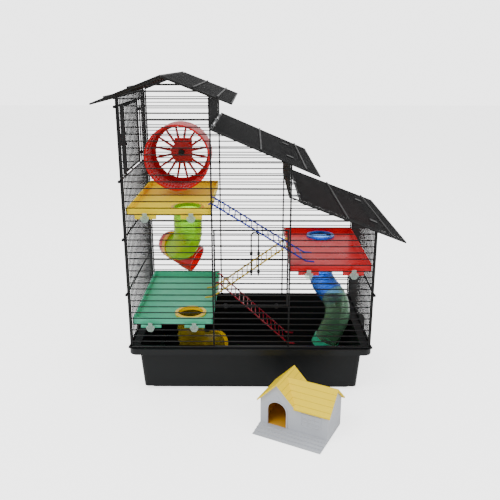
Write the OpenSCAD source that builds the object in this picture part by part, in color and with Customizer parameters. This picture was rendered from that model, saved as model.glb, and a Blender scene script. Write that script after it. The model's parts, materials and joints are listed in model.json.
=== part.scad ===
// Three-storey wire hamster cage on a moulded tray, with floors, tubes, ladders, a wheel and a hut.
// Millimetres, +Z up, X along the width, -Y at the front, origin at the middle of the tray's underside.

/* [Overall] */
// Width over the tray rim
tray_w = 470; // [390:5:570]
// Depth over the tray rim
tray_d = 300; // [250:5:360]
// Height of the tray
tray_h = 100; // [80:1:130]
// Height of the right roof's hinge above the tray rim
right_roof_h = 295; // [240:1:360]
// Rise from the right roof's hinge to the middle roof's hinge
middle_rise = 125; // [90:1:150]
// Rise from the middle roof's hinge to the tower's ridge
tower_rise = 88; // [70:1:120]

/* [Tray] */
// Thickness of the tray's walls and floor
tray_wall = 2.5; // [2:0.5:4]
// Height of the rim's skirt
rim_h = 12; // [8:1:18]
// How far the rim stands out past the tray's wall
rim_out = 16.5; // [14:0.5:24]
// Corner radius of the rim
rim_corner = 16; // [14:1:30]
// Height of the foot under the tray
foot_h = 8; // [4:1:12]
// How far the tray's wall leans in toward its foot
tray_lean = 6; // [0:1:12]
// How far the foot is set in from the tray's wall
foot_in = 12; // [6:1:20]

/* [Wire] */
// Radius of the thin bars
bar_r = 1; // [0.8:0.1:1.4]
// Radius of the frame wires
frame_r = 1.5; // [1.2:0.1:2]
// Distance from bar to bar
bar_pitch = 12; // [10:0.5:14]
// Depth that crossing wires sink into each other at a weld
weld = 0.3; // [0.2:0.05:0.5]

/* [Roofs] */
// How far the right roof runs on past its wall, along its slope
roof_over = 46; // [36:0.5:60]
// How far the roofs stand out past the front and back walls
roof_out = 28; // [10:1:40]
// Slope of the tower's gable roof
tower_slope = 21; // [15:1:30]
// Slope of the middle roof
middle_slope = 23; // [15:1:30]
// Slope of the right roof
right_slope = 21; // [15:1:30]
// How far the tower's roof stands out past its side walls
tower_out = 39; // [20:1:50]

/* [Floors] */
// Height of a floor's lip
floor_lip_h = 13; // [8:1:20]
// Thickness of a floor and its lip
floor_t = 2.4; // [2:0.1:4]
// Outer diameter of the tubes
tube_d = 53; // [44:1:58]
// Wall thickness of the tubes
tube_t = 1.8; // [1.4:0.1:2.6]
// Bend radius of the tubes at their middle line
tube_bend = 46; // [34:1:60]

/* [Wheel] */
// Diameter of the running wheel
wheel_d = 134; // [110:1:156]
// Width of the running wheel
wheel_w = 86; // [50:1:100]
// Number of spokes
wheel_spokes = 16; // [8:2:20]

/* [Ladders] */
// Width between the ladders' rail centres
ladder_w = 57; // [40:1:70]
// Distance from rung to rung
rung_pitch = 12.5; // [10:0.5:20]

/* [Hut] */
// Length of the hut's front wall
hut_l = 128; // [100:1:150]
// Depth of the hut's walls
hut_d = 69; // [55:1:85]
// Height of the hut's walls at the eaves
hut_h = 56; // [44:1:66]
// Turn of the hut on its stand
hut_turn = -27; // [-60:1:60]

/* [Hidden] */

wire_col = [0.08, 0.08, 0.09];
chrome = [0.75, 0.76, 0.78];
white = [0.92, 0.93, 0.9];

cage_w = tray_w - 13;
cage_d = tray_d - 16;
corner_flat = 22.5;
layer = bar_r + frame_r - weld;
gap = 0.4;
fit = 0.05;

// Plan positions of the posts and the planes of the walls
xl = -cage_w / 2;
xr = cage_w / 2;
x1 = xl + 0.346 * cage_w;
x2 = xr - 0.34 * cage_w;
yf = -cage_d / 2;
yb = cage_d / 2;
post_y = cage_d / 2 - layer;
rim_z = tray_h;
row0 = rim_z + frame_r + fit;
function row(i) = row0 + i * bar_pitch;

// Roof lines, at the middle of the bars
hinge_off = 4.5;
right_off = 15;
right_hinge = [x2 + right_off, rim_z + right_roof_h];
middle_hinge = [x1 + hinge_off, right_hinge[1] + middle_rise];
ridge = [(xl + x1) / 2, middle_hinge[1] + tower_rise];
tower_half = (x1 - xl) / 2 + tower_out;
roof_half_d = cage_d / 2 + roof_out;
function drop(a) = (2 * frame_r + gap) / cos(a);
function right_top(x) = right_hinge[1] - (x - right_hinge[0]) * tan(right_slope) - drop(right_slope);
function middle_top(x) = middle_hinge[1] - (x - middle_hinge[0]) * tan(middle_slope) - drop(middle_slope);
function tower_top(x) = ridge[1] - abs(x - ridge[0]) * tan(tower_slope) - drop(tower_slope);
tower_side = tower_top(xl);
function row_right(z) =
  z <= right_top(xr) ? xr
  : z <= right_top(x2) ? x2 + (right_top(x2) - z) / tan(right_slope)
  : z <= middle_top(x2) ? x2
  : z <= middle_top(x1) ? x1 + (middle_top(x1) - z) / tan(middle_slope)
  : z <= tower_side ? x1
  : ridge[0] + (tower_top(ridge[0]) - z) / tan(tower_slope);
function row_left(z) = z <= tower_side ? xl : ridge[0] - (tower_top(ridge[0]) - z) / tan(tower_slope);

// Front door, between two rows of bars
door_lo = 7;
door_hi = 20;
door_side = 4;
door_edge = 4.5;
door_x0 = x1 + door_side;
door_x1 = x2 - door_side;
door_z0 = row(door_lo) + door_edge;
door_z1 = row(door_hi) - door_edge;
door_y = yf - bar_r - frame_r - 0.1;
latch_x = (door_x0 + door_x1) / 2 + 7;
latch_r = 1.25;
latch_half = 6.7;
latch_h = 85;

// Side wall rails and the side door in the tower's outer wall
side_x = cage_w / 2 + frame_r + frame_r + 0.15;
rail_x = side_x + layer;
side_y = cage_d / 2 - 4;
left_wall_top = tower_top(-rail_x) - 1;
right_wall_top = right_top(rail_x) - 1;
sdoor_z0 = row(27);
sdoor_z1 = min(row(38), left_wall_top - 15);
sdoor_y0 = -cage_d * 0.27;
sdoor_y1 = cage_d * 0.3;
sdoor_x = -(rail_x + frame_r + frame_r + 0.35);

// Floors, each set just above a gap between two rows
floor_w = min(x1 - xl, xr - x2) - 2.5;
floor_d = cage_d - 2 * (layer + frame_r) - 8;
floor_gap = 3;
function level(i) = row(i) + bar_pitch / 2 + floor_gap;
yellow_z = level(floor(0.6 * (right_roof_h + middle_rise) / bar_pitch));
red_z = level(floor(0.49 * right_roof_h / bar_pitch));
green_z = level(floor(0.13 * right_roof_h / bar_pitch));
left_cx = (xl + x1) / 2;
right_cx = (x2 + xr) / 2;
clip_dx = 42;
hole_dx = 30;
hole_in = 45;

// Tubes
tube_r = tube_d / 2;
collar_t = 2;
collar_l = 12;
ring_h = 4;
tube_gap = 0.2;
left_hole = [left_cx + hole_dx, -floor_d / 2 + hole_in];
right_hole = [right_cx + 4, floor_d / 2 - hole_in + 8];

// Wheel
wheel_r = wheel_d / 2;
wheel_row = ceil((yellow_z + floor_t + wheel_r + 9 - row0) / bar_pitch - 0.5);
wheel_c = [left_cx, 0, row(wheel_row) + bar_pitch / 2];
wheel_back = yb - 40;
axle_r = 3;
hub_r = 20;

// Ladders hook over a lip and rest on the level below
rail_r = 1.5;
hook_r = 3.75;
hook_drop = 1.5;

// ---------- shared shapes ----------

function vlen(v) = sqrt(v * v);
function unit(v) = v / vlen(v);

// Round wire drawn as an eight-sided bar from p to q
module rod(p, q, r) {
  d = q - p;
  translate(p)
    rotate([0, acos(d[2] / vlen(d)), atan2(d[1], d[0])])
      rotate([0, 0, corner_flat])
        cylinder(r = r / cos(corner_flat), h = vlen(d), $fn = 8);
}

// True round pin from p to q
module pin(p, q, r) {
  d = q - p;
  translate(p)
    rotate([0, acos(d[2] / vlen(d)), atan2(d[1], d[0])])
      cylinder(r = r, h = vlen(d), $fn = 32);
}

corner_steps = 6;
function rrect(w, d, r) = [
  for (c = [0:3], s = [0:corner_steps])
    let (a = 90 * c + 90 * s / corner_steps)
      [(c == 0 || c == 3 ? 1 : -1) * (w / 2 - r) + r * cos(a),
       (c < 2 ? 1 : -1) * (d / 2 - r) + r * sin(a)]
];

module slab(w, d, r, z0, z1) {
  translate([0, 0, z0])
    linear_extrude(height = z1 - z0)
      polygon(rrect(w, d, r));
}

// Figure-eight link, running along the local Z axis, from an eight-sided wire at p to a round one at q
module link(p, q, rp, rq, l) {
  wall = 1.6;
  d = q - p;
  rf = rp / cos(corner_flat);
  translate([p[0], p[1], -l / 2])
    rotate([0, 0, atan2(d[1], d[0])])
      difference() {
        union() {
          cylinder(r = rf + wall, h = l, $fn = 32);
          translate([vlen(d), 0, 0]) cylinder(r = rq + wall, h = l, $fn = 32);
          translate([0, -wall, 0]) cube([vlen(d), 2 * wall, l]);
        }
        translate([0, 0, -l]) cylinder(r = rf + fit, h = 3 * l, $fn = 32);
        translate([vlen(d), 0, -l]) cylinder(r = rq + fit, h = 3 * l, $fn = 32);
      }
}

// ---------- tray ----------

lug_w = 5;
lug_gap = 13;
clip_pin_r = 1.5;
clip_pin_x = tray_w / 2 + 3.5;
clip_pin_z = tray_h - 6;

// Tapered tub, w by d at its top
module tub(w, d, r, z0, z1) {
  hull() {
    slab(w, d, r, z1 - 1, z1);
    slab(w - 2 * tray_lean, d - 2 * tray_lean, r, z0, z0 + 1);
  }
}

module tray() {
  foot_set = tray_lean + foot_in;
  body_w = tray_w - 2 * rim_out;
  body_d = tray_d - 2 * rim_out;
  body_r = rim_corner - rim_out / 2;
  color(wire_col)
    difference() {
      union() {
        slab(tray_w, tray_d, rim_corner, tray_h - rim_h, tray_h);
        tub(body_w, body_d, body_r, foot_h, tray_h - 1);
        slab(body_w - 2 * foot_set, body_d - 2 * foot_set, body_r, 0, foot_h + 1);
        for (s = [-1, 1], k = [-1, 1])
          translate([s * clip_pin_x, k * lug_gap, clip_pin_z])
            translate([s > 0 ? -5 : -3.5, -lug_w / 2, -4])
              cube([8.5, lug_w, 8]);
      }
      tub(body_w - 2 * tray_wall, body_d - 2 * tray_wall, body_r - tray_wall,
          foot_h + tray_wall, tray_h + 1);
      slab(body_w - 2 * foot_set - 2 * tray_wall, body_d - 2 * foot_set - 2 * tray_wall,
           body_r - tray_wall, tray_wall, foot_h + tray_wall + 1);
      // hollow under the rim, between its skirt and the tray's wall
      difference() {
        slab(tray_w - 2 * tray_wall, tray_d - 2 * tray_wall, rim_corner - tray_wall,
             tray_h - rim_h - 1, tray_h - tray_wall);
        slab(body_w, body_d, body_r, tray_h - rim_h - 2, tray_h);
      }
      for (s = [-1, 1])
        pin([s * clip_pin_x, -lug_gap - lug_w, clip_pin_z],
            [s * clip_pin_x, lug_gap + lug_w, clip_pin_z], clip_pin_r + fit);
    }
}

// Lever clip on one side of the rim, s = 1 for the right-hand one
module tray_clip(s) {
  arm_w = 2 * (lug_gap - lug_w / 2) - 0.8;
  hook_x = side_x + bar_r + gap - clip_pin_x;
  top = row0 + frame_r + 0.5 - clip_pin_z;
  color(wire_col)
    translate([s * clip_pin_x, 0, clip_pin_z])
      mirror([s > 0 ? 0 : 1, 0, 0])
        rotate([90, 0, 0])
          difference() {
            translate([0, 0, -arm_w / 2])
              linear_extrude(height = arm_w)
                polygon([
                  [-2.3, -2.2], [0, -3.1], [3.4, -5], [5, -16], [6.6, -16], [4.8, -4], [4.8, top + 2.5],
                  [hook_x, top + 2.5], [hook_x, top], [1.6, top], [1.6, 3], [-1, 3.1], [-2.3, 2.2]
                ]);
            translate([0, 0, -arm_w])
              cylinder(r = clip_pin_r + fit, h = 2 * arm_w, $fn = 32);
          }
}

module tray_clip_pins() {
  color(chrome)
    for (s = [-1, 1])
      pin([s * clip_pin_x, -lug_gap - lug_w / 2, clip_pin_z],
          [s * clip_pin_x, lug_gap + lug_w / 2, clip_pin_z], clip_pin_r);
}

// ---------- wire walls ----------

module rows(y, cut) {
  for (i = [0:floor((tower_top(ridge[0]) - 2 - row0) / bar_pitch)]) {
    z = row(i);
    r = i == 0 ? frame_r : bar_r;
    split = cut && i > door_lo && i < door_hi;
    if (split) {
      rod([row_left(z) - frame_r, y, z], [x1 + frame_r, y, z], r);
      rod([x2 - frame_r, y, z], [row_right(z) + frame_r, y, z], r);
    } else {
      rod([row_left(z) - frame_r, y, z], [row_right(z) + frame_r, y, z], r);
    }
  }
}

// Sloping wire along the top of a long wall, a touch thinner than the posts
module top_wire(s, xa, za, xb, zb) {
  y = s * (post_y + 0.07);
  d = unit([xb - xa, 0, zb - za]) * 0.9;
  rod([xa - d[0], y, za - d[2]], [xb + d[0], y, zb + d[2]], frame_r - 0.13);
}

module long_wall(s, cut) {
  y = s * post_y;
  z0 = row0 - frame_r;
  color(wire_col) {
    rows(s * cage_d / 2, cut);
    rod([xl, y, z0], [xl, y, tower_side], frame_r);
    rod([x1, y, z0], [x1, y, tower_side], frame_r);
    rod([x2, y, z0], [x2, y, middle_top(x2)], frame_r);
    rod([xr, y, z0], [xr, y, right_top(xr)], frame_r);
    top_wire(s, xl, tower_side, ridge[0], tower_top(ridge[0]));
    top_wire(s, x1, tower_side, ridge[0], tower_top(ridge[0]));
    top_wire(s, x1, middle_top(x1), x2, middle_top(x2));
    top_wire(s, x2, right_top(x2), xr, right_top(xr));
  }
}

bars_half = floor(side_y / bar_pitch);

// Side wall of upright bars with cross rails, s = 1 for the right-hand one
module side_wall(s, top, rails, door) {
  x = s * side_x;
  color(wire_col) {
    for (i = [-bars_half:bars_half]) {
      y = i * bar_pitch;
      if (door && y > sdoor_y0 - 3 && y < sdoor_y1 + 3) {
        rod([x, y, row0 - bar_r], [x, y, sdoor_z0 + bar_r], bar_r);
        rod([x, y, sdoor_z1 - bar_r], [x, y, top + bar_r], bar_r);
      } else {
        rod([x, y, row0 - bar_r], [x, y, top + bar_r], bar_r);
      }
    }
    for (y = [-side_y, side_y]) rod([x, y, row0 - frame_r], [x, y, top], frame_r);
    for (z = rails)
      rod([s * rail_x, -side_y - frame_r, z], [s * rail_x, side_y + frame_r, z], frame_r);
    for (z = rails, y = [-1, 1])
      rod([s * rail_x, y * side_y, z], [s * rail_x, y * (side_y + 6), z], frame_r + 0.9);
    if (door)
      for (y = [sdoor_y0 - 4, sdoor_y1 + 4])
        rod([s * rail_x, y, sdoor_z0], [s * rail_x, y, sdoor_z1], frame_r);
  }
}

left_rails = [row0, row(9), row(18), sdoor_z0, sdoor_z1, left_wall_top];
right_rails = [row0, row(9), right_wall_top];

// Short wall of upright bars that closes the step between two roofs
module step_wall(x, z0, z1) {
  half = post_y - frame_r - 0.1;
  color(wire_col) {
    for (i = [-bars_half:bars_half])
      rod([x - layer, i * bar_pitch, z0 - bar_r], [x - layer, i * bar_pitch, z1 + bar_r], bar_r);
    rod([x, -half, z0], [x, half, z0], frame_r);
    rod([x, -half, z1], [x, half, z1], frame_r);
  }
}

// ---------- roofs ----------

cross_mid = 0.45;
cross_end = 26.3;
roof_len = (rail_x - right_hinge[0]) / cos(right_slope) + roof_over;
roof_bars = floor((roof_half_d - 3) / bar_pitch);

// Panel of bars down the slope from its hinge wire, in its own plane with X down the slope
module roof_panel(start, len, hinged) {
  for (i = [-roof_bars:roof_bars])
    rod([start, i * bar_pitch, 0], [len, i * bar_pitch, 0], bar_r);
  for (s = [-1, 1])
    rod([start, s * roof_half_d, 0], [len, s * roof_half_d, 0], frame_r);
  rod([len, -roof_half_d - frame_r, 0], [len, roof_half_d + frame_r, 0], frame_r);
  for (at = [cross_mid * len, len - cross_end])
    rod([at, -roof_half_d - frame_r, layer], [at, roof_half_d + frame_r, layer], frame_r);
  if (hinged)
    pin([0, -roof_half_d - frame_r, 0], [0, roof_half_d + frame_r, 0], frame_r);
}

module single_roof(hinge, slope) {
  color(wire_col)
    translate([hinge[0], 0, hinge[1]])
      rotate([0, slope, 0])
        roof_panel(0, roof_len, true);
}

tower_len = tower_half / cos(tower_slope);

// The left half carries the ridge wire and the right half's bars end against it
module tower_roof_left() {
  color(wire_col)
    translate([ridge[0], 0, ridge[1]]) {
      mirror([1, 0, 0]) rotate([0, tower_slope, 0]) roof_panel(0, tower_len, false);
      rod([0, -roof_half_d - frame_r, 0], [0, roof_half_d + frame_r, 0], frame_r);
    }
}

module tower_roof_right() {
  color(wire_col)
    translate([ridge[0], 0, ridge[1]])
      rotate([0, tower_slope, 0])
        roof_panel(2 * frame_r + fit, tower_len, false);
}

// Two bent tabs that grip the wall under a roof panel's lower part
tab_plate_t = 1.2;
tab_reach = frame_r + 3.2;
tab_back = 8;
tongue = 9;

module roof_tabs(hinge, slope, x_wall) {
  at = (x_wall - hinge[0]) / cos(slope);
  tongue_w = bar_pitch - 2 * bar_r - 1;
  plate_w = bar_pitch + 2 * bar_r + 2;
  color(chrome)
    translate([hinge[0], 0, hinge[1]])
      rotate([0, slope, 0])
        for (k = [-7.5, 7.5])
          translate([at, k * bar_pitch, 0]) {
            translate([-tab_back, -plate_w / 2, bar_r + fit])
              cube([tab_back + tab_reach + tab_plate_t, plate_w, tab_plate_t]);
            translate([tab_reach, -tongue_w / 2, -tongue])
              cube([tab_plate_t, tongue_w, tongue + bar_r + tab_plate_t / 2]);
          }
}

module roof_hinge_rings() {
  color(chrome)
    for (h = [[x1, middle_hinge], [x2, right_hinge]], k = [-9.5, 0.5, 9.5])
      translate([0, k * bar_pitch, 0])
        rotate([90, 0, 0])
          link([h[0], h[1][1]], [h[1][0], h[1][1]], frame_r, frame_r, 5);
}

// ---------- front door ----------

module front_door() {
  color(wire_col) {
    pin([door_x0 - frame_r, door_y, door_z0], [door_x1 + frame_r, door_y, door_z0], frame_r);
    rod([door_x0 - frame_r, door_y, door_z1], [door_x1 + frame_r, door_y, door_z1], frame_r);
    for (x = [door_x0, door_x1]) rod([x, door_y, door_z0], [x, door_y, door_z1], frame_r);
    for (i = [door_lo + 1:door_hi - 1])
      rod([door_x0 - bar_r, door_y + layer, row(i)], [door_x1 + bar_r, door_y + layer, row(i)], bar_r);
    latch_guides();
  }
}

guide_rows = [13, 16];
guide_y = door_y + layer - bar_r - latch_r - 0.3;

module latch_guides() {
  for (i = guide_rows, s = [-1, 1])
    difference() {
      translate([latch_x + s * latch_half - 2.6, guide_y - 2.4, row(i) - 2.5])
        cube([5.2, door_y + layer - guide_y + 2.4, 5]);
      translate([latch_x + s * latch_half, guide_y, row(i) - 4])
        cylinder(r = latch_r + fit, h = 8, $fn = 32);
    }
}

module front_door_latch() {
  top = door_z1 - frame_r - 0.6 - latch_r;
  color(wire_col)
    translate([latch_x, guide_y, 0]) {
      for (s = [-1, 1])
        pin([s * latch_half, 0, top - latch_h + latch_r], [s * latch_half, 0, top - latch_half], latch_r);
      translate([0, 0, top - latch_half])
        rotate([90, 0, 0])
          rotate_extrude(angle = 180, $fn = 48)
            translate([latch_half, 0])
              circle(r = latch_r, $fn = 32);
    }
}

module front_door_hinge_rings() {
  mid = (door_x0 + door_x1) / 2;
  color(chrome)
    for (s = [-1, 1])
      translate([mid + s * 48, 0, 0])
        rotate([90, 0, 90])
          link([yf, row(door_lo)], [door_y, door_z0], bar_r, frame_r, 6);
}

// ---------- side door ----------

module side_door() {
  z0 = sdoor_z0 + 4;
  z1 = sdoor_z1 - 4;
  color(wire_col) {
    pin([sdoor_x, sdoor_y1, z0 - frame_r], [sdoor_x, sdoor_y1, z1 + frame_r], frame_r);
    rod([sdoor_x, sdoor_y0, z0 - frame_r], [sdoor_x, sdoor_y0, z1 + frame_r], frame_r);
    for (z = [z0, z1])
      rod([sdoor_x, sdoor_y0, z], [sdoor_x, sdoor_y1, z], frame_r);
    for (i = [ceil((sdoor_y0 + 4) / bar_pitch):floor((sdoor_y1 - 4) / bar_pitch)])
      rod([sdoor_x + layer, i * bar_pitch, z0 - bar_r], [sdoor_x + layer, i * bar_pitch, z1 + bar_r], bar_r);
    side_latch_guides();
  }
}

slatch_z = (sdoor_z0 + sdoor_z1) / 2;
slatch_half = 10;
slatch_len = 46;
slatch_y = sdoor_y0 - 3;
slatch_x = sdoor_x - frame_r - latch_r - 0.2;

module side_latch_guides() {
  y = floor((sdoor_y0 + 30) / bar_pitch) * bar_pitch;
  for (s = [-1, 1])
    difference() {
      translate([slatch_x - 2.4, y - 2.5, slatch_z + s * slatch_half - 2.6])
        cube([sdoor_x + layer - slatch_x + 2.4, 5, 5.2]);
      pin([slatch_x, y - 4, slatch_z + s * slatch_half], [slatch_x, y + 4, slatch_z + s * slatch_half],
          latch_r + fit);
    }
}

module side_door_latch() {
  color(wire_col)
    translate([slatch_x, slatch_y, slatch_z]) {
      for (s = [-1, 1]) pin([0, slatch_half, s * slatch_half], [0, slatch_len, s * slatch_half], latch_r);
      translate([0, slatch_half, 0])
        rotate([0, 90, 0])
          rotate([0, 0, 180])
            rotate_extrude(angle = 180, $fn = 48)
              translate([slatch_half, 0])
                circle(r = latch_r, $fn = 32);
    }
}

module side_door_hinge_rings() {
  color(chrome)
    for (z = [sdoor_z0 + 20, sdoor_z1 - 20])
      translate([0, 0, z])
        link([-rail_x, sdoor_y1 + 4], [sdoor_x, sdoor_y1], frame_r, frame_r, 6);
}

// ---------- wheel ----------

drum_t = 2.6;
disc_t = 3;
wheel_lip = 3.4;

module wheel_drum() {
  front = wheel_back - wheel_w;
  slot_in = hub_r + 3;
  slot_out = wheel_r - 12;
  slot_w = 9;
  color([0.8, 0.05, 0.08])
    translate([wheel_c[0], 0, wheel_c[2]])
      rotate([-90, 0, 0])
        difference() {
          union() {
            translate([0, 0, front]) cylinder(r = wheel_r - 1.2, h = wheel_w, $fn = 96);
            translate([0, 0, front]) cylinder(r = wheel_r, h = wheel_lip, $fn = 96);
          }
          translate([0, 0, front - 1]) cylinder(r = wheel_r - 1.2 - drum_t, h = wheel_w - disc_t + 1, $fn = 96);
          for (k = [1:wheel_spokes])
            rotate([0, 0, k * 360 / wheel_spokes])
              translate([0, 0, wheel_back - disc_t - 1])
                linear_extrude(height = disc_t + 2)
                  polygon([
                    [slot_in, -slot_w * 0.22], [slot_out, -slot_w], [slot_out, slot_w],
                    [slot_in, slot_w * 0.22]
                  ]);
          translate([0, 0, wheel_back - disc_t - 1]) cylinder(r = axle_r + fit, h = disc_t + 2, $fn = 48);
        }
}

arm_r = 8;

module wheel_bracket() {
  plate_y = yb - bar_r - 0.3;
  color([0.8, 0.05, 0.08])
    translate([wheel_c[0], 0, wheel_c[2]]) {
      translate([-19, plate_y - 5, -26]) cube([38, 5, 52]);
      pin([0, wheel_back + 0.4, 0], [0, plate_y - 2.5, 0], arm_r);
      pin([0, wheel_back - disc_t - 6, 0], [0, wheel_back + 3, 0], axle_r);
      pin([0, plate_y - 3, 0], [0, yb + 9, 0], 3);
    }
}

module wheel_clamp_knob() {
  color([0.8, 0.05, 0.08])
    translate([wheel_c[0], 0, wheel_c[2]])
      difference() {
        union() {
          translate([-15, yb + bar_r + 0.3, -15]) cube([30, 3, 30]);
          pin([0, yb + bar_r + 1, 0], [0, yb + 9, 0], 8);
        }
        pin([0, yb, 0], [0, yb + 12, 0], 3 + fit);
      }
}

module wheel_axle_cap() {
  color(wire_col)
    translate([wheel_c[0], 0, wheel_c[2]])
      difference() {
        pin([0, wheel_back - disc_t - 8, 0], [0, wheel_back - disc_t - 0.4, 0], 6.5);
        pin([0, wheel_back - disc_t - 6.1, 0], [0, wheel_back, 0], axle_r + 0.02);
      }
}

// ---------- floors ----------

tab_w = 39;
tab_drop = 7;
tab_t = 3;

// Lipped floor with a round hole, its outside centred on [cx, 0]
module lipped_floor(cx, z, hole, col) {
  color(col)
    difference() {
      union() {
        translate([cx, 0, 0]) slab(floor_w, floor_d, 4, z, z + floor_lip_h);
        for (k = [-1, 1], s = [-1, 1])
          translate([cx + k * clip_dx - tab_w / 2, s > 0 ? floor_d / 2 - 1 : -floor_d / 2 - tab_t + 1, z - tab_drop])
            cube([tab_w, tab_t, tab_drop + 3]);
      }
      translate([cx, 0, 0])
        slab(floor_w - 2 * floor_t, floor_d - 2 * floor_t, 4 - floor_t + 1, z + floor_t, z + floor_lip_h + 1);
      translate([hole[0], hole[1], z - 1])
        cylinder(r = tube_r + step + 0.1, h = floor_t + 2, $fn = 96);
    }
}

clip_w = 16;
clip_t = 2.6;
neck_h = 7;

// Four hooks that hold a floor's tabs to the front and back walls
module floor_clips(cx, z) {
  out = cage_d / 2 + bar_r + 0.2;
  inner = floor_d / 2 + tab_t - 1 + 0.05;
  mid = z - floor_gap;
  color(white)
    for (k = [-1, 1], s = [-1, 1])
      translate([cx + k * clip_dx, 0, mid])
        mirror([0, s > 0 ? 0 : 1, 0]) {
          translate([-4, inner, -neck_h / 2]) cube([8, out + clip_t / 2 - inner, neck_h]);
          translate([0, out, 0])
            rotate([90, 0, 0])
              mirror([0, 0, 1])
                linear_extrude(height = clip_t)
                  polygon([
                    [-4, 9], [4, 9], [4, 3], [clip_w / 2, 2], [clip_w / 2, -2], [5, -7],
                    [3, -8.5], [-3, -8.5], [-5, -7], [-clip_w / 2, -2], [-clip_w / 2, 2], [-4, 3]
                  ]);
        }
}

// ---------- tubes ----------

// Local frame at p with its Y axis along d0 and its bend toward d1
module bend_frame(p, d0, d1, r) {
  n = unit(d1 - d0 * (d0 * d1));
  w = cross(-n, d0);
  c = p + n * r;
  multmatrix([
    [-n[0], d0[0], w[0], c[0]],
    [-n[1], d0[1], w[1], c[1]],
    [-n[2], d0[2], w[2], c[2]],
    [0, 0, 0, 1]
  ]) children();
}

function bend_angle(d0, d1) = acos(d0 * d1);
function bend_end(p, d0, d1, r) =
  let (n = unit(d1 - d0 * (d0 * d1)), a = bend_angle(d0, d1))
    p + n * r * (1 - cos(a)) + d0 * r * sin(a);

// Straight run of tube. It starts a little way back, inside the bend it continues, and is a touch thicker
sink = 0.6;
step = 0.12;
module pipe(p, d, l, r_out, r_in) {
  q = p + d * l;
  difference() {
    pin(p - d * sink, q, r_out + step);
    pin(p - d, q + d, r_in - step);
  }
}

module bend(p, d0, d1, r, r_out, r_in) {
  bend_frame(p, d0, d1, r)
    rotate_extrude(angle = bend_angle(d0, d1), $fn = 96)
      translate([r, 0])
        difference() {
          circle(r = r_out, $fn = 64);
          circle(r = r_in, $fn = 64);
        }
}

tube_in = tube_r - tube_t;
down = [0, 0, -1];
ring_top = ring_h + 0.1;

// Upper ring that holds a tube in a floor's hole
module tube_ring(hole, z, col) {
  color(col)
    translate([hole[0], hole[1], z + floor_t + 0.05])
      difference() {
        cylinder(r = tube_r + 4.5, h = ring_h, $fn = 96);
        translate([0, 0, -1]) cylinder(r = tube_r + step + fit, h = ring_h + 2, $fn = 96);
      }
}

lime = [0.55, 0.85, 0.1];
red = [0.8, 0.05, 0.08];
amber = [0.95, 0.7, 0.1];
yellow = [1, 0.8, 0.05];
green = [0.25, 0.65, 0.4];
mint = [0.35, 0.8, 0.6];
blue = [0.15, 0.35, 0.8];

// Lime tube under the yellow floor, then the red one behind it
lime_a = [left_hole[0], left_hole[1], yellow_z + floor_t + ring_top];
lime_run = 43.5;
lime_b = lime_a + down * lime_run;
lime_d = unit([-0.6, 0.8, -0.03]);
lime_c = bend_end(lime_b, down, lime_d, tube_bend);
red_d = unit([0.87, -0.29, -0.39]);
lime_e = lime_c + lime_d * collar_l / 2;
red_a = lime_e + lime_d * tube_gap;
red_s = red_a + lime_d * collar_l / 2;
red_bend = 0.67 * tube_bend;
red_b = bend_end(red_s, lime_d, red_d, red_bend);
red_run = 22;

module lime_tube() {
  color(lime) {
    pipe(lime_a, down, lime_run + sink, tube_r, tube_in);
    bend(lime_b, down, lime_d, tube_bend, tube_r, tube_in);
    pipe(lime_c, lime_d, collar_l / 2, tube_r, tube_in);
  }
}

// Sleeve that slips over a tube's end
module sleeve(p, d, l, r) {
  q = p + d * l;
  difference() {
    pin(p, q, r + collar_t);
    pin(p - d, q + d, r);
  }
}

module collar(p, d, col) {
  color(col)
    sleeve(p - d * (collar_l / 2 - 0.8), d, collar_l - 1.6, tube_r + step + fit);
}

module red_tube() {
  color(red) {
    pipe(red_a + lime_d * sink, lime_d, collar_l / 2 - sink, tube_r, tube_in);
    bend(red_s, lime_d, red_d, red_bend, tube_r, tube_in);
    pipe(red_b, red_d, red_run, tube_r + collar_t, tube_in);
  }
}

// Yellow tube from the green floor to the tray
yel_a = [left_hole[0], left_hole[1], green_z + floor_t + ring_top];
yel_run = 47;
yel_b = yel_a + down * yel_run;
yel_d = unit([0.41, 0.86, -0.3]);
yel_c = bend_end(yel_b, down, yel_d, tube_bend);
yel_run2 = 65;

module yellow_tube() {
  color(yellow) {
    pipe(yel_a, down, yel_run + sink, tube_r, tube_in);
    bend(yel_b, down, yel_d, tube_bend, tube_r, tube_in);
    pipe(yel_c, yel_d, yel_run2, tube_r, tube_in);
    pipe(yel_c + yel_d * yel_run2, yel_d, 9, tube_r + collar_t, tube_in);
  }
}

// Blue, green and mint tubes from the red floor to the tray
blue_a = [right_hole[0], right_hole[1], red_z + floor_t + ring_top];
blue_run = 68;
blue_b = blue_a + down * blue_run;
blue_d = unit([0.39, -0.85, -0.35]);
blue_c = bend_end(blue_b, down, blue_d, tube_bend);
blue_run2 = 36;
green_a = blue_c + blue_d * (blue_run2 + tube_gap);
green_d = unit([-0.37, 0.1, -0.92]);
green_b = bend_end(green_a, blue_d, green_d, tube_bend);
green_run = 51;

module blue_tube() {
  color(blue) {
    pipe(blue_a, down, blue_run + sink, tube_r, tube_in);
    bend(blue_b, down, blue_d, tube_bend, tube_r, tube_in);
    pipe(blue_c, blue_d, blue_run2, tube_r, tube_in);
  }
}

module green_tube() {
  color(green) {
    bend(green_a, blue_d, green_d, tube_bend, tube_r, tube_in);
    pipe(green_b, green_d, green_run, tube_r, tube_in);
  }
}

module mint_tube_collar() {
  color(mint)
    sleeve(green_b + green_d * (green_run - 12), green_d, 18, tube_r + step + fit);
}

// ---------- ladders ----------

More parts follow.
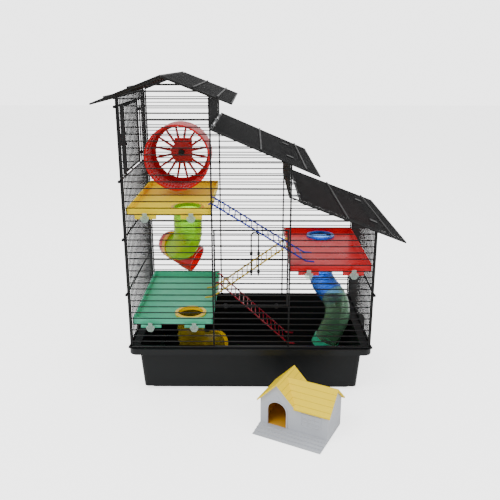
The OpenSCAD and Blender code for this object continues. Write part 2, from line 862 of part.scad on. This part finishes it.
// Ladder hooked over a lip at x, running to the side s, down by h over a run of w
module ladder(x, y, z, s, w, h, col) {
  run = sqrt(w * w + h * h - hook_r * hook_r);
  fall = atan2(h, w) + asin(hook_r / sqrt(w * w + h * h));
  foot = 16;
  main = run - foot * 0.8;
  color(col)
    translate([x, y, z])
      mirror([s > 0 ? 0 : 1, 0, 0])
        rotate([0, fall, 0]) {
          for (e = [-1, 1])
            translate([0, e * ladder_w / 2, 0]) {
              rod([-0.5, 0, hook_r], [main, 0, hook_r], rail_r);
              translate([main, 0, hook_r])
                rotate([0, -fall + 6, 0])
                  rod([-0.6, 0, 0], [foot, 0, 0], rail_r);
              rotate([90, 0, 0])
                rotate([0, 0, 90])
                  rotate_extrude(angle = 100, $fn = 48)
                    translate([hook_r, 0])
                      circle(r = rail_r - 0.1, $fn = 24);
            }
          for (i = [1:floor((main - 4) / rung_pitch)])
            rod([i * rung_pitch, -ladder_w / 2, hook_r], [i * rung_pitch, ladder_w / 2, hook_r], bar_r);
        }
}

lip_top = floor_lip_h - hook_drop;
left_lip = left_cx + floor_w / 2 - floor_t / 2;
right_lip = right_cx - floor_w / 2 + floor_t / 2;
blue_run_x = x2 + 44 - left_lip;
yellow_run_x = right_lip - (x1 - 20);
red_run_x = x2 + 20 - left_lip;
rest = rail_r + 0.5;

module blue_ladder() {
  ladder(left_lip, -cage_d * 0.27, yellow_z + lip_top, 1, blue_run_x,
         yellow_z + lip_top - red_z - floor_t - rest, [0.1, 0.15, 0.6]);
}

module yellow_ladder() {
  ladder(right_lip, cage_d * 0.025, red_z + lip_top, -1, yellow_run_x,
         red_z + lip_top - green_z - floor_t - rest, [0.85, 0.7, 0.15]);
}

module red_ladder() {
  ladder(left_lip, cage_d * 0.3, green_z + lip_top, 1, red_run_x,
         green_z + lip_top - tray_wall - rest - 1, [0.6, 0.1, 0.15]);
}

// ---------- hut ----------

hut_t = 2;
hut_front = [19, -tray_d / 2 - 100];
gable_w = 66;
step_n = 4;
step_d = 8;
step_h = 1.8;
hut_base = step_n * step_h;
main_slope = 46;
wing_slope = 42;
roof_t = 2.4;
eave = 5;
door_w = 36;
arch_w_h = 30;
pane_n = 3;
pane_w = (hut_l - gable_w - 29 - (pane_n - 1) * 1.2) / pane_n;
pane_h = (21 - (pane_n - 1) * 1.2) / pane_n;

// Places the hut: its front left corner at the origin, X along the front wall, Y to the back
module hut_place() {
  translate([hut_front[0], hut_front[1], 0])
    rotate([0, 0, hut_turn])
      children();
}

// Gabled block across w, its sides set in by in, from lo up to the roof
module gable_block(w, l, h, slope, in, lo) {
  rotate([90, 0, 0])
    mirror([0, 0, 1])
      linear_extrude(height = l)
        polygon([
          [in, lo], [w - in, lo], [w - in, h], [w / 2, h + (w / 2 - in) * tan(slope)], [in, h]
        ]);
}

module hut_body(in, lo) {
  translate([0, in, 0]) gable_block(gable_w, hut_d - 2 * in, hut_h, main_slope, in, lo);
  translate([hut_l - in, 0, 0])
    rotate([0, 0, 90])
      gable_block(hut_d, hut_l - in - gable_w / 2, hut_h, wing_slope, in, lo);
}

module arch(w, h, t) {
  rotate([90, 0, 0])
    translate([0, 0, -t / 2]) {
      translate([-w / 2, 0, 0]) cube([w, h, t]);
      translate([0, h, 0]) cylinder(r = w / 2, h = t, $fn = 48);
    }
}

module hut_walls() {
  door_x = gable_w / 2;
  color(white)
    hut_place()
      difference() {
        union() {
          hut_body(0, 0);
          for (i = [0:step_n - 1])
            translate([0, -step_d * (step_n - i), 0])
              cube([hut_l, step_d * (step_n - i) + 1, step_h * (i + 1)]);
          translate([door_x, 0, hut_base]) arch(door_w + 5, arch_w_h, 2.4);
          translate([gable_w + 12, -1, hut_base + 14]) cube([hut_l - gable_w - 24, 3, 26]);
          translate([door_x, 0, hut_h + 7]) rotate([90, 0, 0]) cylinder(r = 4, h = 1.2, center = true, $fn = 48);
        }
        hut_body(hut_t, hut_base);
        translate([door_x, 0, hut_base]) arch(door_w, arch_w_h, 12);
        for (i = [0:pane_n - 1], j = [0:pane_n - 1])
          translate([gable_w + 14.5 + i * (pane_w + 1.2), -2, hut_base + 16.5 + j * (pane_h + 1.2)])
            cube([pane_w, 1.9, pane_h]);
        translate([hut_t + 4, hut_t + 4, -1]) cube([hut_l - 2 * hut_t - 8, hut_d - 2 * hut_t - 8, hut_base - 1]);
      }
}

// Roof plates sit just above the walls' sloping tops
module roof_cap(w, l, slope, e) {
  lift = 0.3;
  base = hut_h + lift - e * tan(slope);
  top = hut_h + lift + w / 2 * tan(slope);
  v = roof_t / cos(slope);
  rotate([90, 0, 0])
    mirror([0, 0, 1])
      translate([0, 0, -eave])
        linear_extrude(height = l + 2 * eave)
          polygon([
            [-e, base], [w / 2, top], [w + e, base], [w + e, base + v], [w / 2, top + v], [-e, base + v]
          ]);
}

module hut_roof() {
  color(yellow)
    hut_place()
      difference() {
        union() {
          roof_cap(gable_w, hut_d, main_slope, eave);
          translate([hut_l, 0, 0])
            rotate([0, 0, 90])
              difference() {
                roof_cap(hut_d, hut_l, wing_slope, eave);
                translate([-eave - 20, hut_l - gable_w / 2, 0]) cube([hut_d + 40 + eave, hut_l, 200]);
              }
        }
        translate([-0.3, -0.3, 0]) hut_inside();
      }
}

// The hut's own bulk, which the roof stays clear of
module hut_inside() {
  translate([0, -eave - 1, 0])
    gable_block(gable_w + 0.6, hut_d + 2 * eave + 2, hut_h - 0.1, main_slope, 0, -1);
  translate([hut_l + eave + 1, 0, 0])
    rotate([0, 0, 90])
      gable_block(hut_d + 0.6, hut_l + eave + 1 - gable_w / 2, hut_h - 0.1, wing_slope, 0, -1);
}

tray();
long_wall(-1, true);  // front_wall
long_wall(1, false);  // back_wall
side_wall(-1, left_wall_top, left_rails, true);  // left_wall
side_wall(1, right_wall_top, right_rails, false);  // right_wall
step_wall(x1, middle_hinge[1], tower_side - 4);  // tower_step_wall
step_wall(x2, right_hinge[1], middle_top(x2) - 1);  // middle_step_wall
tower_roof_left();
tower_roof_right();
single_roof(middle_hinge, middle_slope);  // middle_roof
single_roof(right_hinge, right_slope);  // right_roof
roof_tabs(middle_hinge, middle_slope, x2);  // middle_roof_tabs
roof_tabs(right_hinge, right_slope, rail_x);  // right_roof_tabs
roof_hinge_rings();
front_door();
front_door_hinge_rings();
front_door_latch();
side_door();
side_door_hinge_rings();
side_door_latch();
tray_clip(-1);  // left_tray_clip
tray_clip(1);  // right_tray_clip
tray_clip_pins();
wheel_bracket();
wheel_clamp_knob();
wheel_drum();
wheel_axle_cap();
lipped_floor(left_cx, yellow_z, left_hole, yellow);  // yellow_floor
lipped_floor(left_cx, green_z, left_hole, green);  // green_floor
lipped_floor(right_cx, red_z, right_hole, red);  // red_floor
floor_clips(left_cx, yellow_z);  // yellow_floor_clips
floor_clips(left_cx, green_z);  // green_floor_clips
floor_clips(right_cx, red_z);  // red_floor_clips
tube_ring(left_hole, yellow_z, amber);  // lime_tube_ring
lime_tube();
collar(lime_e, lime_d, amber);  // amber_tube_collar
red_tube();
tube_ring(left_hole, green_z, yellow);  // yellow_tube_ring
yellow_tube();
tube_ring(right_hole, red_z, blue);  // blue_tube_ring
blue_tube();
green_tube();
mint_tube_collar();
blue_ladder();
yellow_ladder();
red_ladder();
hut_walls();
hut_roof();
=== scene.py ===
import json
import math
import bmesh
import bpy
from mathutils import Matrix, Vector


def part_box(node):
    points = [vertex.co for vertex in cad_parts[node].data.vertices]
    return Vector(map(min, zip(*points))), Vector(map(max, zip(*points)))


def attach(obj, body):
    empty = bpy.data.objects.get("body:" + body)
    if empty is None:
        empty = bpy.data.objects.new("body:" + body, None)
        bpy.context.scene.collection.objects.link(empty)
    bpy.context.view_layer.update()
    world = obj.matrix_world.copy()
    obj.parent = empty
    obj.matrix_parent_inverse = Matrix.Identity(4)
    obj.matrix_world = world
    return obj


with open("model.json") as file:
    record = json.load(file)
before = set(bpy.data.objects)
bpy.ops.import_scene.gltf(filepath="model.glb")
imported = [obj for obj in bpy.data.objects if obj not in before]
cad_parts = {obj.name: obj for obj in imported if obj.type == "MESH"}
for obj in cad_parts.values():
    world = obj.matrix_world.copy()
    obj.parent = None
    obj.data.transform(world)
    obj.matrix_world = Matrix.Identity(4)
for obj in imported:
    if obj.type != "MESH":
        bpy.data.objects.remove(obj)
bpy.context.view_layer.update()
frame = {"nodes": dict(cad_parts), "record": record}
nodes = frame["nodes"]

# Lengths are in metres, and turns in degrees

HUT_CORNER = (0.019, -0.25, 0)
HUT_TURN = -27.0
HUT_SIZE = (0.128, 0.069)
HUT_INNER = 0.0016
BOARD_PITCH = 0.0075

TUBE_BEND = 0.046
RING_EDGE = 0.0045
RIB_PITCH = 0.0085
RIB_LIFT = 0.0002
FLOOR_GAP = 0.006
YELLOW_TUBE_AIM = (0.41, 0.86, -0.3)

TREADS = 60
TREAD_WIDTH = 0.0016
TREAD_HEIGHT = 0.0022
TREAD_RING = 0.0009
DRUM_WALL = 0.0038
DRUM_ENDS = 0.012

# ---------- materials ----------


def add(tree, kind, values=None, **settings):
    """A node. Its settings come first, because they decide which inputs it has."""
    made = tree.nodes.new(kind)
    for name, value in settings.items():
        setattr(made, name, value)
    for name, value in (values or {}).items():
        made.inputs[name].default_value = value
    return made


def blend_colors(tree, factor, first, second):
    """Goes from the first color to the second. Each is a color or another node's output."""
    mix = add(tree, "ShaderNodeMix", data_type="RGBA")
    tree.links.new(factor, mix.inputs["Factor"])
    for name, value in (("A", first), ("B", second)):
        if isinstance(value, tuple):
            mix.inputs[name].default_value = (*value, 1)
        else:
            tree.links.new(value, mix.inputs[name])
    return mix.outputs["Result"]


def math_node(tree, operation, first, second, third=None):
    """One sum or test. Each of its inputs is a number or another node's output."""
    made = add(tree, "ShaderNodeMath", operation=operation)
    for i, value in enumerate((first, second, third)):
        if isinstance(value, (int, float)):
            made.inputs[i].default_value = value
        elif value is not None:
            tree.links.new(value, made.inputs[i])
    return made.outputs["Value"]


def scaled(color, share):
    return tuple(c * share for c in color)


def lap_relief_and_shade(tree, place, pitch):
    """0 in the groove under each lapped board and 1 on its face: the boards' relief, and where their painted
    shade goes.
    """
    parts = add(tree, "ShaderNodeSeparateXYZ")
    tree.links.new(place, parts.inputs["Vector"])
    laps = math_node(tree, "MULTIPLY", parts.outputs["Z"], 1 / pitch)
    saw = add(tree, "ShaderNodeMath", operation="FRACT")
    tree.links.new(laps, saw.inputs[0])
    groove = add(tree, "ShaderNodeMapRange", {"From Min": 0.0, "From Max": 0.14})
    tree.links.new(saw.outputs["Value"], groove.inputs["Value"])
    return groove.outputs["Result"]


def inside_hut(tree, place):
    """1 on the hut's inner faces, where amber light is painted on, and 0 on its outer ones."""
    turn = math.radians(HUT_TURN)
    local = add(tree, "ShaderNodeMapping")
    local.inputs["Location"].default_value = -(Matrix.Rotation(-turn, 3, "Z") @ Vector(HUT_CORNER))
    local.inputs["Rotation"].default_value = (0, 0, -turn)
    tree.links.new(place, local.inputs["Vector"])
    sides = add(tree, "ShaderNodeSeparateXYZ")
    tree.links.new(local.outputs["Vector"], sides.inputs["Vector"])
    along, across = [
        math_node(tree, "COMPARE", sides.outputs[side], length / 2, length / 2 - HUT_INNER)
        for side, length in zip("XY", HUT_SIZE)
    ]
    return math_node(tree, "MULTIPLY", along, across)


def past_planes(tree, place, planes):
    """1 beyond any of the planes, each given by its direction and distance."""
    past = None
    for direction, distance in planes:
        along = add(tree, "ShaderNodeVectorMath", operation="DOT_PRODUCT")
        along.inputs[1].default_value = direction
        tree.links.new(place, along.inputs[0])
        over = math_node(tree, "GREATER_THAN", along.outputs["Value"], distance)
        past = over if past is None else math_node(tree, "MAXIMUM", past, over)
    return past


def material(name, color, rough, metal=0.0, clear=0.0, coat=0.0, gloss=0.5, grain=900.0, bump=0.03,
             mottle=0.06, tint=None, planks=0.0, painted_amber_light=None, ends=None):
    """Moulded, painted or plated finish: fine grain in the relief, soft mottling in color and gloss.

    A clear one lets light through, less so where it is seen edge on. Past the planes in ends it is solid.
    Lapped boards get painted shade in the grooves under their laps, and the hut's inner faces can take
    painted amber light in place of the light inside.
    """
    m = bpy.data.materials.new(name)
    m.use_nodes = True
    tree = m.node_tree
    tree.nodes.clear()
    link = tree.links.new
    out = add(tree, "ShaderNodeOutputMaterial")
    bsdf = add(tree, "ShaderNodeBsdfPrincipled", {
        "Metallic": metal, "Coat Weight": coat, "Coat Roughness": 0.08, "Specular IOR Level": gloss,
    })
    place = add(tree, "ShaderNodeTexCoord").outputs["Object"]

    cloud = add(tree, "ShaderNodeTexNoise", {"Scale": 35.0, "Detail": 5.0})
    link(place, cloud.inputs["Vector"])
    worn = add(tree, "ShaderNodeMapRange", {
        "From Min": 0.3, "From Max": 0.7, "To Min": max(rough - 0.06, 0.02), "To Max": rough + 0.08,
    })
    link(cloud.outputs["Fac"], worn.inputs["Value"])
    link(worn.outputs["Result"], bsdf.inputs["Roughness"])
    paint = blend_colors(tree, cloud.outputs["Fac"], color, scaled(color, 1 - 2.5 * mottle))

    if planks:
        height = lap_relief_and_shade(tree, place, planks)
        # painted shade: the groove under each lap is darkened to 0.62 of the color
        paint = blend_colors(tree, height, scaled(color, 0.62), paint)
    else:
        fine = add(tree, "ShaderNodeTexNoise", {"Scale": grain, "Detail": 3.0})
        link(place, fine.inputs["Vector"])
        height = fine.outputs["Fac"]
    # painted light: the hut's inner faces are colored amber, standing in for the amber light inside the hut
    if painted_amber_light:
        paint = blend_colors(tree, inside_hut(tree, place), paint, painted_amber_light)
    relief = add(tree, "ShaderNodeBump", {"Strength": bump, "Distance": 0.0006})
    link(height, relief.inputs["Height"])
    link(relief.outputs["Normal"], bsdf.inputs["Normal"])

    surface = bsdf.outputs["BSDF"]
    if clear:
        see = add(tree, "ShaderNodeBsdfTransparent", {"Color": (*(tint or color), 1)})
        facing = add(tree, "ShaderNodeLayerWeight", {"Blend": 0.35})
        rim = add(tree, "ShaderNodeMapRange", {"To Min": 1 - clear, "To Max": 1.0})
        link(facing.outputs["Facing"], rim.inputs["Value"])
        opacity = rim.outputs["Result"]
        if ends:
            bright, planes = ends
            past = past_planes(tree, place, planes)
            opacity = math_node(tree, "MAXIMUM", opacity, past)
            paint = blend_colors(tree, past, paint, bright)
        join = add(tree, "ShaderNodeMixShader")
        link(opacity, join.inputs["Fac"])
        link(see.outputs["BSDF"], join.inputs[1])
        link(surface, join.inputs[2])
        surface = join.outputs["Shader"]
    link(paint, bsdf.inputs["Base Color"])
    link(surface, out.inputs["Surface"])
    return m


def far_end(node, direction, depth):
    """Plane that cuts off the last stretch of a node along a direction."""
    aim = Vector(direction).normalized()
    return tuple(aim), max(v.co.dot(aim) for v in nodes[node].data.vertices) - depth


YELLOW_ENDS = [far_end("yellow_tube_ring", (0, 0, 1), 0.006), far_end("yellow_tube", YELLOW_TUBE_AIM, 0.012)]

FINISH = {
    "tray_black": dict(color=(0.0075, 0.0085, 0.009), rough=0.34, gloss=0.22, grain=1400, bump=0.06),
    "wire_black": dict(color=(0.003, 0.003, 0.0035), rough=0.4, gloss=0.25),
    "bright_steel": dict(color=(0.66, 0.67, 0.69), rough=0.2, metal=1.0),
    "clip_black": dict(color=(0.005, 0.005, 0.006), rough=0.35, gloss=0.3),
    "clip_white": dict(color=(0.5, 0.6, 0.55), rough=0.25, clear=0.7, tint=(0.8, 0.92, 0.84)),
    "red_plastic": dict(color=(0.62, 0.001, 0.006), rough=0.3, gloss=0.3, coat=0.08),
    "yellow_plastic": dict(color=(1.0, 0.74, 0.0), rough=0.45, gloss=0.15, mottle=0.02),
    "green_plastic": dict(color=(0.08, 0.56, 0.34), rough=0.4, gloss=0.25),
    "amber_clear": dict(color=(0.85, 0.42, 0.003), rough=0.18, clear=0.12, tint=(1, 0.62, 0.04), coat=0.2),
    "lime_clear": dict(color=(0.45, 0.74, 0.001), rough=0.16, clear=0.74, tint=(0.72, 0.97, 0.03), coat=0.2),
    "red_clear": dict(color=(0.66, 0.002, 0.008), rough=0.16, clear=0.38, tint=(0.98, 0.05, 0.06), coat=0.2),
    "yellow_clear": dict(color=(0.42, 0.33, 0.005), rough=0.1, clear=0.9, tint=(0.92, 0.84, 0.25), coat=0.4,
                         ends=((0.95, 0.62, 0.0), YELLOW_ENDS)),
    "blue_clear": dict(color=(0.05, 0.2, 0.62), rough=0.1, clear=0.8, tint=(0.42, 0.66, 0.98), coat=0.4),
    "green_clear": dict(color=(0.22, 0.42, 0.27), rough=0.08, clear=0.86, tint=(0.8, 0.93, 0.83), coat=0.6),
    "mint_plastic": dict(color=(0.05, 0.55, 0.32), rough=0.25, coat=0.15),
    "ladder_blue": dict(color=(0.006, 0.02, 0.4), rough=0.3, coat=0.1),
    "ladder_yellow": dict(color=(0.72, 0.5, 0.01), rough=0.3, coat=0.1),
    "ladder_red": dict(color=(0.42, 0.01, 0.03), rough=0.3, coat=0.1),
    # hut walls: painted amber light on their inner faces
    "hut_white": dict(color=(0.5, 0.52, 0.56), rough=0.5, gloss=0.3, grain=1600, bump=0.08,
                      painted_amber_light=(0.62, 0.3, 0.02)),
    # hut boards: painted shade in the grooves under their laps
    "hut_yellow": dict(color=(1.0, 0.72, 0.0), rough=0.45, gloss=0.12, mottle=0.02, clear=0.06,
                       tint=(1, 0.62, 0.05), planks=BOARD_PITCH, bump=0.5),
}
MATS = {name: material(name, **made) for name, made in FINISH.items()}
SLOT = {row["node"]: row["material_slot"] for row in frame["record"]["subparts"]}
for node, obj in nodes.items():
    obj.data.materials.clear()
    obj.data.materials.append(MATS[SLOT[node]])

# ---------- raised detail on the clear tubes and the wheel ----------


def piece(name, bm, slot, body):
    """An object of its own from a finished bmesh, with its finish and the body it rides on."""
    bmesh.ops.recalc_face_normals(bm, faces=bm.faces)
    mesh = bpy.data.meshes.new(name)
    bm.to_mesh(mesh)
    bm.free()
    mesh.shade_smooth()
    mesh.materials.append(MATS[slot])
    obj = bpy.data.objects.new(name, mesh)
    bpy.context.scene.collection.objects.link(obj)
    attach(obj, body)
    return obj


def add_rib(bm, centre, axis, radius, wire):
    """One round rib: a small circle spun about the tube's own axis."""
    stand = Matrix.Translation(centre) @ axis.to_track_quat("Z", "Y").to_matrix().to_4x4()
    across = Matrix.Translation((radius, 0, 0)) @ Matrix.Rotation(math.pi / 2, 4, "X")
    made = bmesh.ops.create_circle(bm, segments=8, radius=wire, matrix=stand @ across)["verts"]
    edges = list({e for v in made for e in v.link_edges})
    bmesh.ops.spin(bm, geom=made + edges, cent=centre, axis=axis, angle=math.tau, steps=40, use_merge=True)


def tube_route(start, run, aim, bend, run_on, pitch):
    """Places and directions along a tube that drops, bends toward aim and runs on."""
    down = Vector((0, 0, -1))
    aim = aim.normalized()
    side = (aim - down * down.dot(aim)).normalized()
    turn = down.angle(aim)
    low = start + down * run
    for i in range(int(run / pitch)):
        yield start + down * pitch * i, down
    steps = int(bend * turn / pitch)
    for i in range(steps):
        t = turn * i / steps
        yield (low + side * bend * (1 - math.cos(t)) + down * bend * math.sin(t),
               down * math.cos(t) + side * math.sin(t))
    end = low + side * bend * (1 - math.cos(turn)) + down * bend * math.sin(turn)
    for i in range(int(run_on / pitch)):
        yield end + aim * pitch * i, aim


def ribbed(name, ring, under, slot, run, aim, run_on, wire):
    """Ribs on the outside of the tube that hangs from a floor's ring."""
    lo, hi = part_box(ring)
    radius = (hi[0] - lo[0]) / 2 - RING_EDGE
    top = Vector(((lo[0] + hi[0]) / 2, (lo[1] + hi[1]) / 2, hi[2] + 0.0001))
    floor_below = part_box(under)[0][2] - FLOOR_GAP
    bm = bmesh.new()
    for place, axis in tube_route(top, run, Vector(aim), TUBE_BEND, run_on, RIB_PITCH):
        if place.z < floor_below:
            add_rib(bm, place, axis, radius + RIB_LIFT, wire)
    return piece(name, bm, slot, "cage")


ribbed("yellow_tube_ribs", "yellow_tube_ring", "green_floor", "yellow_clear",
       0.047, YELLOW_TUBE_AIM, 0.062, 0.0009)
ribbed("lime_tube_ribs", "lime_tube_ring", "yellow_floor", "lime_clear",
       0.0435, (-0.6, 0.8, -0.03), 0.0, 0.0006)
ribbed("blue_tube_ribs", "blue_tube_ring", "red_floor", "blue_clear",
       0.068, (0.39, -0.85, -0.35), 0.034, 0.0006)

# treads inside the wheel: bars along its width, with three rings across them
lo, hi = [Vector(v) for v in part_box("wheel_drum")]
hub = (lo + hi) / 2
drum_width = hi.y - lo.y
tread_r = (hi.x - lo.x) / 2 - DRUM_WALL
out_to_drum = Matrix.Translation((tread_r, 0, 0))
size = Matrix.Diagonal((TREAD_WIDTH, drum_width - DRUM_ENDS, TREAD_HEIGHT, 1))
bm = bmesh.new()
for i in range(TREADS):
    spot = Matrix.Translation(hub) @ Matrix.Rotation(i * math.tau / TREADS, 4, "Y") @ out_to_drum
    bmesh.ops.create_cube(bm, size=1, matrix=spot @ size)
for share in (-0.25, 0, 0.25):
    add_rib(bm, hub + Vector((0, share * drum_width, 0)), Vector((0, 1, 0)), tread_r, TREAD_RING)
piece("wheel_treads", bm, "red_plastic", "wheel")

# ---------- surroundings ----------


def white_seen(tree, socket, seen, lit):
    """Brightness that the picture shows, apart from the softer light that falls on the object."""
    path = add(tree, "ShaderNodeLightPath")
    pick = add(tree, "ShaderNodeMapRange", {"To Min": lit, "To Max": seen})
    tree.links.new(path.outputs["Is Camera Ray"], pick.inputs["Value"])
    tree.links.new(pick.outputs["Result"], socket)


def plain(name, color, rough, seen, lit):
    m = bpy.data.materials.new(name)
    m.use_nodes = True
    b = m.node_tree.nodes["Principled BSDF"]
    b.inputs["Base Color"].default_value = (*color, 1)
    b.inputs["Roughness"].default_value = rough
    b.inputs["Specular IOR Level"].default_value = 0.0
    b.inputs["Emission Color"].default_value = (1, 1, 1, 1)
    white_seen(m.node_tree, b.inputs["Emission Strength"], seen, lit)
    return m


bm = bmesh.new()
bmesh.ops.create_grid(bm, x_segments=1, y_segments=1, size=8)
mesh = bpy.data.meshes.new("floor")
bm.to_mesh(mesh)
bm.free()
ground = bpy.data.objects.new("floor", mesh)
ground.location.z = -0.0005
bpy.context.scene.collection.objects.link(ground)
mesh.materials.append(plain("floor_white", (0.93, 0.93, 0.93), 0.8, 2.2, 0.05))

world = bpy.data.worlds.new("studio")
bpy.context.scene.world = world
world.use_nodes = True
sky = world.node_tree.nodes["Background"]
sky.inputs["Color"].default_value = (1, 1, 1, 1)
white_seen(world.node_tree, sky.inputs["Strength"], 3.4, 0.95)


def area(name, place, aim, size, power):
    """Rectangular soft light at a place, turned toward its aim."""
    data = bpy.data.lights.new(name, "AREA")
    data.shape = "RECTANGLE"
    data.size, data.size_y = size
    data.energy = power
    o = bpy.data.objects.new(name, data)
    o.location = place
    o.rotation_mode = "QUATERNION"
    o.rotation_quaternion = (Vector(aim) - Vector(place)).to_track_quat("-Z", "Y")
    bpy.context.scene.collection.objects.link(o)
    return o


area("key", (-1.1, -1.3, 2.1), (0, 0, 0.25), (1.2, 1.2), 34)
area("fill", (1.6, -1.0, 1.3), (0, 0, 0.25), (1.4, 1.2), 12)
area("top", (0, 0.3, 2.3), (0, 0, 0.2), (2, 2), 16)

# ---------- camera ----------

lens = bpy.data.cameras.new("camera")
lens.sensor_width = 36
lens.lens = 43.62
lens.clip_start = 0.05
camera = bpy.data.objects.new("camera", lens)
bpy.context.scene.collection.objects.link(camera)
camera.location = (0.0072, -1.2066, 0.6315)
tilt, turn = math.radians(17.35), math.radians(-0.42)
ahead = Vector((math.sin(turn) * math.cos(tilt), math.cos(turn) * math.cos(tilt), -math.sin(tilt)))
camera.rotation_mode = "QUATERNION"
camera.rotation_quaternion = ahead.to_track_quat("-Z", "Y")
bpy.context.scene.camera = camera
